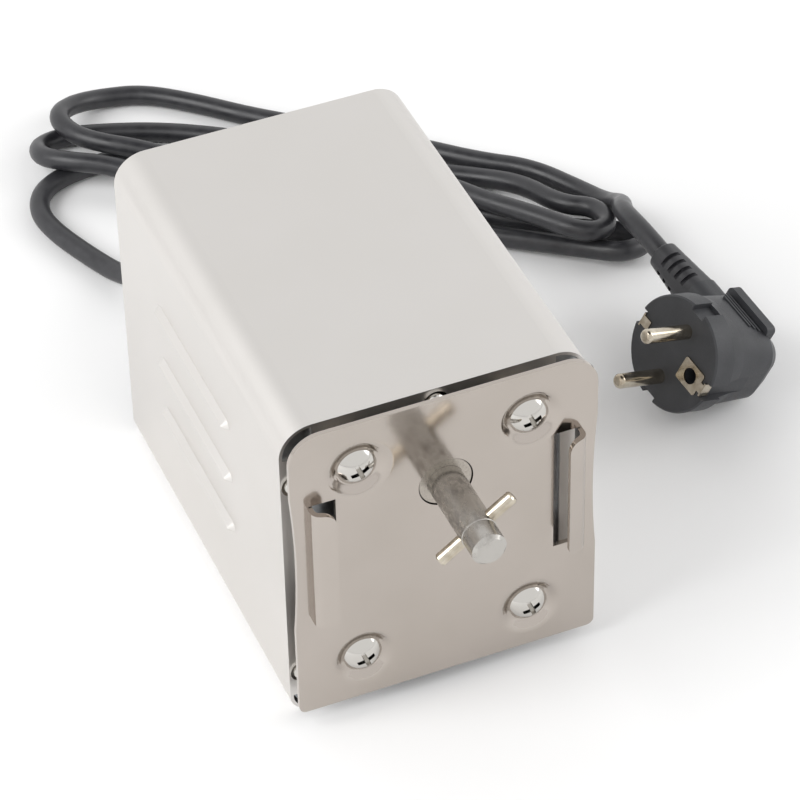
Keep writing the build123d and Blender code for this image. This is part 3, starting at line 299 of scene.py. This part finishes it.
def make_floor():
    """Plain pale floor, wide enough for every view."""
    bm = bmesh.new()
    bmesh.ops.create_grid(bm, x_segments=1, y_segments=1, size=FLOOR_HALF)
    mesh = bpy.data.meshes.new("floor")
    bm.to_mesh(mesh)
    bm.free()
    floor = bpy.data.objects.new("floor", mesh)
    material, tree, shader = blank_material("matt_white_paper", "#F4F4F4", 0.0, 0.9)
    mesh.materials.append(material)
    bpy.context.scene.collection.objects.link(floor)


def add_softbox(name, place, aim, size, watts):
    """Square area light that looks at a point."""
    light = bpy.data.lights.new(name, "AREA")
    light.energy = watts
    light.size = size
    lamp = bpy.data.objects.new(name, light)
    direction = Vector(aim) - Vector(place)
    lamp.matrix_world = (Matrix.Translation(place)
                         @ direction.to_track_quat("-Z", "Y").to_matrix().to_4x4())
    bpy.context.scene.collection.objects.link(lamp)


make_floor()
add_softbox("left_softbox", (-1.1, -0.1, 1.0), OBJECT_MIDDLE, 0.9, 12)
add_softbox("right_softbox", (1.3, -0.3, 0.7), OBJECT_MIDDLE, 0.8, 5)
world = bpy.data.worlds.new("studio")
world.use_nodes = True
sky = world.node_tree.nodes["Background"]
sky.inputs["Strength"].default_value = 1.15
# A pale studio whose ceiling is dark, so that domes and round bars show a dark upper half.
heights = add_node(world.node_tree, "ShaderNodeSeparateXYZ", {"Vector": add_node(
    world.node_tree, "ShaderNodeTexCoord").outputs["Generated"]})
ceiling = spread(world.node_tree, heights.outputs["Z"], 0.0, 1.0, 0.84, 0.92)
world.node_tree.links.new(tint(world.node_tree, ceiling.outputs["Result"], "#F2F2F2", "#4A4745"),
                          sky.inputs["Color"])
bpy.context.scene.world = world
bpy.context.scene.view_settings.view_transform = "Standard"


# ---------------------------------------------------------------- the free cord
CORD_DIAMETER = 6.8
gland_low, gland_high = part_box("cord_strain_relief")
relief_middle = (gland_low + gland_high) / 2
CORD_START = (relief_middle.x, gland_high.y, relief_middle.z)
# Route in millimetres: out of the case, to and fro through the hank, and up to the plug.
CORD_ROUTE = [
    (-18, 125.2, 22), (-20.8, 139.7, 13.5), (-26, 154.7, 5), (-32, 170.7, 3.5),
    (-38, 186.7, 3.5), (-40, 198.7, 3.5), (-36.5, 208.7, 3.5), (-28, 214.7, 3.5),
    (-14, 217.2, 3.5), (2, 216.2, 3.5), (20, 207.7, 3.5),
    (50, 186.7, 3.5), (76, 164.3, 4.3), (87.9, 151.5, 9.6), (96.3, 135.8, 10.9),
    (108.5, 118.4, 12.8), (117.7, 103.3, 13.9), (128.3, 105.4, 11.3), (129.9, 118.6, 9.8),
    (119.4, 126, 8.9), (113.5, 144.7, 6.5), (100, 159.2, 3.5), (77, 175, 3.5), (53, 197.4, 3.5),
    (28.8, 215.7, 3.5), (12, 225.7, 3.5), (-4, 232.2, 3.5), (-18, 236.2, 3.5), (-29, 232.2, 5.5),
    (-31.5, 221.2, 9.4), (-24.5, 212.7, 11.3), (-13, 205.7, 11.3), (3, 193.2, 8), (27, 172.7, 3.5),
    (60, 148.2, 3.5), (86.5, 131.9, 3.5), (106.2, 116.1, 4.7), (120.4, 105.7, 4.8),
    (128.1, 96, 7.4), (138.5, 98.2, 6.2), (139.7, 108.6, 3.5), (122.6, 117.5, 3.5),
    (103, 131.9, 3.5), (77, 154.7, 3.5), (46, 176.2, 3.5), (18, 198.2, 6.5), (0, 210.2, 10.9),
    (-11, 217.7, 11.5), (-18.5, 226.7, 11.5), (-20, 238.7, 11.2), (-11, 248.2, 7), (2, 251.7, 3.5),
    (15, 248.2, 3.5), (29, 236.7, 3.5), (46, 219.2, 3.5), (68, 201.2, 3.5), (90, 181.7, 3.5),
    (106.6, 164.9, 3.7), (121, 153.2, 4.5), (131.5, 136.2, 3.9), (135.5, 123.8, 6.2),
    (136.3, 112.9, 13.5), (129.7, 100.3, 21.9),
    (129.82, 84.38, 24.64), (131.67, 73.76, 22.45),
]


def make_cord():
    """One smooth line through the route's points, with the sheath's diameter."""
    curve = bpy.data.curves.new("mains_cord", "CURVE")
    curve.dimensions = "3D"
    line = curve.splines.new("NURBS")
    points = [CORD_START] + [tuple(value * MM for value in point) for point in CORD_ROUTE]
    line.points.add(len(points) - 1)
    for control, point in zip(line.points, points):
        control.co = (*point, 1)
    line.order_u = 3
    line.use_endpoint_u = True
    line.resolution_u = 12
    curve.bevel_depth = CORD_DIAMETER * MM / 2
    curve.bevel_resolution = 6
    curve.use_fill_caps = True
    curve.materials.append(finishes["black_rubber"])
    cord = bpy.data.objects.new("mains_cord", curve)
    bpy.context.scene.collection.objects.link(cord)
    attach(cord, "root")
    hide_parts("power_cord")


make_cord()
